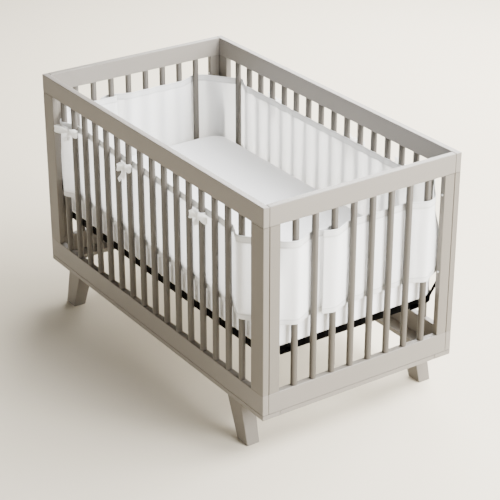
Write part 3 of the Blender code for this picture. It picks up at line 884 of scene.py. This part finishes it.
def past_slats(places, outside, uneven, tied=()):
    """The cloth's course past slats: (along, out at its top, out lower down) for each point."""
    course = []
    for number, along in places:
        side = 1 if number in outside else -1
        if course:
            before, side_before = course[-1][0], course[-1][1]
            inside = side < 0 and side_before < 0
            slack = uneven.uniform(1 - WAVE_UNEVEN, 1 + WAVE_UNEVEN)
            outs = [slack * wave - PASS_BY if inside else 0.0 for wave in (WAVE_TOP, WAVE_LOW)]
            course.append(((before + along) / 2, *outs))
        course.append((along, -PASS_BY_TIED if number in tied else side * PASS_BY, side * PASS_BY))
    return course


def half_course(strip, uneven, tied):
    """From a strip's edge on the right end, round the back corner, to the middle of the back."""
    ends = list(enumerate(END_PLACES))[strip["first"]:]
    edge = (ends[0][1] - strip["before"], strip["out"], strip["out"])
    course = [tuple(Vector((END_PLANE + out, along)) for out in outs)
              for along, *outs in (edge, *past_slats(ends, strip["outside"], uneven))]
    for row in CORNER_COURSE:
        course.append(tuple(Vector((INSIDE_LENGTH / 2 - row[height][0],
                                    INSIDE_WIDTH / 2 - row[height][1]))
                            for height in ("top", "low")))
    backs = list(enumerate(LONG_PLACES))[LONG_SLATS // 2 - 1:][::-1]
    course += [tuple(Vector((along, LONG_PLANE + out)) for out in outs)
               for along, *outs in past_slats(backs, LONG_OUTSIDE, uneven, tied)[:-1]]
    return course


def whole_course(strip, bows, seed):
    """A strip's course from its right edge to its left edge, at the back of the crib."""
    uneven = random.Random(seed)
    tied = [row["slat"] for row in bows]
    right = half_course(strip, uneven, tied)
    left = half_course(strip, uneven, [LONG_SLATS - 1 - number for number in tied])
    return right + [tuple(Vector((-point.x, point.y)) for point in points)
                    for points in left[-2::-1]]


def smooth_line(points):
    """A smooth line through the points."""
    line = []
    ends = [2 * points[0] - points[1], *points, 2 * points[-1] - points[-2]]
    for a, b, c, d in zip(ends, ends[1:], ends[2:], ends[3:]):
        for step in range(SPAN_STEPS):
            t = step / SPAN_STEPS
            bend = (2 * a - 5 * b + 4 * c - d) * t + (3 * b - a - 3 * c + d) * t * t
            line.append(b + (c - a + bend) * t / 2)
    return [*line, points[-1]]


def share_of_way(value, start, end):
    """How far a value has come from start to end, from 0 to 1."""
    return min(max((value - start) / (end - start), 0.0), 1.0)


def belly(height):
    """How far the cloth bellies out at a height, from 0 at its top hem to 1 lower down."""
    t = share_of_way(height, BELLY_TOP, BELLY_LOW)
    return t * t * (3 - 2 * t)


def creases(seed):
    """Soft folds in hanging cloth: how far it stands out at a place along it and a height."""
    uneven = random.Random(seed)
    folds = [{column: uneven.uniform(*limits) for column, limits in FOLD_RANGES.items()}
             for _ in range(FOLDS)]
    phases = [uneven.uniform(0.0, 2 * math.pi) for _ in range(3)]

    def stand_out(along, height):
        out = 0.0
        for fold in folds:
            middle = fold["at"] + fold["lean"] * (height - fold["middle"])
            across = (along - middle) / fold["width"]
            if abs(across) < FOLD_EDGE:
                up = (height - fold["middle"]) / fold["tall"]
                out += fold["deep"] * math.exp(-across * across - up * up)
        loose = (LINER_TOP - height) / (LINER_TOP - LINER_BOTTOM)
        ripple = (math.sin(RIPPLE["long"] * along + phases[0])
                  + RIPPLE["short_share"] * math.sin(RIPPLE["short"] * along + phases[1]))
        out += RIPPLE["height"] * loose * ripple
        pucker = math.exp(-((LINER_TOP - TOP_HEM - height) / PUCKER["reach"]) ** 2)
        out += PUCKER["height"] * pucker * math.sin(PUCKER["close"] * along + phases[2])
        by_bows = share_of_way(height, BOWS_REACH["low"], BOWS_REACH["high"])
        outward = CREASE_DEPTH + (CREASE_BY_BOWS - CREASE_DEPTH) * by_bows
        return max(-CREASE_DEPTH, min(outward, out))

    return stand_out


def running_length(line):
    """How far along the line each of its points is."""
    lengths = [0.0]
    for before, after in zip(line, line[1:]):
        lengths.append(lengths[-1] + (after - before).length)
    return lengths


def spread(low, high, steps):
    return [low + (high - low) * i / steps for i in range(steps + 1)]


def cloth_piece(name, course, sign_y, heights, thickness, stand_out, material,
                replaces=()):
    """A length of the liner's cloth between two heights, with its creases."""
    lines = [smooth_line([top.lerp(low, belly(z)) for top, low in course]) for z in heights]
    along = running_length(lines[-1])
    spans, rows = len(along) - 1, len(heights) - 1
    bm = bmesh.new()
    bmesh.ops.create_grid(bm, x_segments=spans, y_segments=rows, size=0.5)
    flat = {}
    for vert in bm.verts:
        row = round((vert.co.y + 0.5) * rows)
        column = round((vert.co.x + 0.5) * spans)
        line, height = lines[row], heights[row]
        point = line[column]
        way = (line[min(column + 1, len(line) - 1)] - line[max(column - 1, 0)]).normalized()
        out = stand_out(along[column], height)
        vert.co = (point.x + way.y * out, sign_y * (point.y - way.x * out), height)
        flat[vert] = (along[column], height)
    lay_flat(bm, flat)
    piece = keep(name, bm, material, replaces)
    piece.data.shade_smooth()
    thicken(piece, thickness)
    return piece, along[-1]


def liner_strip(name, strip, sign_y, bows, seed):
    """A strip of the liner with its satin hems, drawn close to the slats where its bows are tied.
    """
    course = whole_course(strip, bows, seed)
    stand_out = creases(seed)
    lip = (HEM_THICKNESS - MESH_THICKNESS) / 2
    body, length = cloth_piece(
        f"{name}_mesh", course, sign_y, spread(LINER_BOTTOM + lip, LINER_TOP - lip, CLOTH_ROWS),
        MESH_THICKNESS, stand_out, MESH_CLOTH, replaces=(name,))
    bands = {"top": (LINER_TOP - TOP_HEM, LINER_TOP, HEM_THICKNESS),
             "bottom": (LINER_BOTTOM, LINER_BOTTOM + BOTTOM_HEM, LOW_HEM_THICKNESS)}
    for height, (low, high, thickness) in bands.items():
        hem, _ = cloth_piece(f"{name}_{height}_hem", course, sign_y, spread(low, high, HEM_ROWS),
                             thickness, stand_out, HEM_SATIN_SHADED)
        round_edges(hem, thickness / 4, steps=2)


# The bows

def ribbon(spine, cup=0.0, across_steps=6):
    """A ribbon along a spine of (point, half-width across) pairs, cupped across its width."""
    spans = len(spine) - 1
    along = running_length([point for point, _ in spine])
    bm = bmesh.new()
    bmesh.ops.create_grid(bm, x_segments=spans, y_segments=across_steps, size=0.5)
    flat = {}
    for vert in bm.verts:
        column = round((vert.co.x + 0.5) * spans)
        side = 2 * vert.co.y
        point, across = spine[column]
        before, after = spine[max(column - 1, 0)][0], spine[min(column + 1, spans)][0]
        out = (after - before).cross(across)
        if out.length > 0:
            out.normalize()
        width = across.length
        share = column / spans
        pleats = math.cos(PLEATS * math.pi * side) * PLEAT_DEPTH * width
        pleats *= 1 - math.sin(math.pi * share)
        vert.co = point + across * side + out * (cup * width * side * side + pleats)
        flat[vert] = (along[column], side * width)
    lay_flat(bm, flat)
    bm.normal_update()
    bmesh.ops.solidify(bm, geom=bm.faces[:], thickness=RIBBON)
    bm.normal_update()
    bmesh.ops.recalc_face_normals(bm, faces=bm.faces)
    return bm


def band():
    """The ribbon round the slat, open towards the liner."""
    across = Vector((0.0, 0.0, BAND_HEIGHT / 2))
    turns = spread(0.0, math.pi, BAND_STEPS)
    course = [BAND_RADIUS * Vector((math.cos(a), -math.sin(a), 0.0)) for a in turns]
    legs = [Vector((x * BAND_RADIUS, BAND_LEG, 0.0)) for x in (1, -1)]
    return ribbon([(point, across) for point in (legs[0], *course, legs[1])], across_steps=4)


def loop(knot_at, way, row):
    """A loop out of the knot and back into it, towards -X or +X."""
    spine = []
    for turn in spread(LOOP_MOUTH, 1 - LOOP_MOUTH, LOOP_STEPS):
        angle = 2 * math.pi * turn
        reach = (1 - math.cos(angle)) / 2
        sway = LOOP_DEPTH / 2 * math.sin(angle)
        if sway > 0:
            sway *= LOOP_INNER
        point = Vector((way * row["long"] * reach, sway - row["out"] * reach * reach,
                        row["rise"] * reach))
        swell = math.sin(math.pi * LOOP_TAPER * reach)
        half = (LOOP_PINCH + (LOOP_HEIGHT - LOOP_PINCH) * swell) / 2
        lean = way * LOOP_LEAN * math.sin(angle)
        spine.append((knot_at + point, half * Vector((lean, 0.0, 1.0)).normalized()))
    return ribbon(spine, cup=0.12)


def tail(knot_at, end):
    """A free end of the ribbon, hanging from the knot, cut on the slant."""
    end = Vector(end)
    across = end.cross(Vector((0.0, 1.0, 0.0))).normalized()
    spine = []
    for t in spread(0.0, 1.0, TAIL_STEPS):
        half = (TAIL_PINCH + (TAIL_WIDTH - TAIL_PINCH) * math.sqrt(t)) / 2
        wave = TAIL_WAVE * math.sin(2 * math.pi * TAIL_TURNS * t)
        point = Vector((end.x * t, end.y * t * t - wave, end.z * t))
        slant = across + end.normalized() * TAIL_SLANT * t * t
        spine.append((knot_at + point, slant * half))
    return ribbon(spine, cup=-0.10)


def knot(knot_at):
    """The ribbon's tight turn over the middle of the bow, with its wrinkles."""
    bm = bmesh.new()
    bmesh.ops.create_uvsphere(bm, u_segments=24, v_segments=14, radius=0.5)
    for vert in bm.verts:
        unit = vert.co.normalized()
        soft = Vector([math.copysign(abs(c) ** KNOT_ROUND, c) for c in unit])
        wrinkle = WRINKLE_DEPTH * math.sin(KNOT_WRINKLES * unit.x * math.pi)
        swell = 1 + wrinkle * (1 - abs(unit.z))
        vert.co = knot_at + Vector([soft[i] * KNOT_SIZE[i] / 2 * swell for i in range(3)])
    lay_flat(bm, {vert: (vert.co.z, vert.co.x) for vert in bm.verts})
    return bm


def bow(side, number, row):
    """A satin bow, tied round a slat, on the outside of the crib."""
    name = f"{side}_bow_{number}"
    sign_y = -1 if side == "front" else 1
    knot_at = Vector((row["knot"], -KNOT_OUT, 0.0))
    parts = [knot(knot_at), band(), loop(knot_at, -1, row["left"]),
             loop(knot_at, 1, row["right"])]
    parts += [tail(knot_at, end) for end in row["tails"]]
    bm = joined(parts)
    if sign_y > 0:
        bmesh.ops.rotate(bm, matrix=Matrix.Rotation(math.pi, 3, "Z"), verts=bm.verts)
    at = Vector((LONG_PLACES[row["slat"]], sign_y * LONG_PLANE, BOW_HEIGHT))
    bmesh.ops.translate(bm, vec=at, verts=bm.verts)
    piece = keep(f"{name}_ribbon", bm, RIBBON_SATIN, (name,), sharp=60)
    subdivide(piece, 1)
    return piece


# The floor, the lights and the camera

def floor():
    """A pale floor that fades out into the backdrop."""
    bm = bmesh.new()
    bmesh.ops.create_grid(bm, x_segments=1, y_segments=1, size=FLOOR_FADE["end"])
    mesh = bpy.data.meshes.new("floor")
    bm.to_mesh(mesh)
    bm.free()
    material, tree, shader = surface("pale_floor", Roughness=0.9, Specular_IOR_Level=0.1)
    shader.inputs["Base Color"].default_value = (*FLOOR_COLOUR, 1.0)
    place = node(tree, "ShaderNodeTexCoord").outputs["Object"]
    away = node(tree, "ShaderNodeVectorMath", {0: place}, operation="LENGTH").outputs["Value"]
    solid = fade(tree, away, FLOOR_FADE["start"], FLOOR_FADE["end"], low=1.0, high=0.0)
    tree.links.new(solid, shader.inputs["Alpha"])
    mesh.materials.append(material)
    ground = bpy.data.objects.new("floor", mesh)
    bpy.context.scene.collection.objects.link(ground)


def backdrop():
    """A plain pale backdrop that casts only a little light itself."""
    world = bpy.data.worlds.new("studio")
    world.use_nodes = True
    tree = world.node_tree
    background = tree.nodes["Background"]
    background.inputs["Color"].default_value = (*WORLD_COLOUR, 1.0)
    seen = node(tree, "ShaderNodeLightPath").outputs["Is Camera Ray"]
    strength = maths(tree, "MULTIPLY_ADD", seen, BACKDROP_STRENGTH - WORLD_STRENGTH,
                     WORLD_STRENGTH)
    tree.links.new(strength, background.inputs["Strength"])
    bpy.context.scene.world = world


def light(name, at, towards, size, power, colour):
    data = bpy.data.lights.new(name, "AREA")
    data.shape = "SQUARE"
    data.size = size
    data.energy = power
    data.color = colour
    lamp = bpy.data.objects.new(name, data)
    bpy.context.scene.collection.objects.link(lamp)
    lamp.location = at
    lamp.rotation_mode = "QUATERNION"
    lamp.rotation_quaternion = (Vector(towards) - Vector(at)).to_track_quat("-Z", "Y")


def camera():
    data = bpy.data.cameras.new("camera")
    data.sensor_width = SENSOR
    data.lens = SENSOR * FOCAL_PIXELS / PICTURE
    data.clip_start, data.clip_end = 0.1, 60.0
    view = bpy.data.objects.new("camera", data)
    bpy.context.scene.collection.objects.link(view)
    view.location = CAMERA_AT
    view.rotation_euler = (math.radians(90 - CAMERA_DOWN), 0.0, math.radians(CAMERA_TURN))
    bpy.context.scene.camera = view


camera()
floor()
backdrop()
for name, row in LIGHTS.items():
    light(name, row["at"], LIT_POINT, row["size"], row["power"], row["colour"])
crib()
mattress()
mattress_frame()
ties = {side: [bow(side, number, row) for number, row in enumerate(rows, 1)]
        for side, rows in BOWS.items()}
liner_strip("liner_front", FRONT_STRIP, -1, BOWS["front"], WAVE_SEED)
liner_strip("liner_back", BACK_STRIP, 1, BOWS["back"], WAVE_SEED + 1)
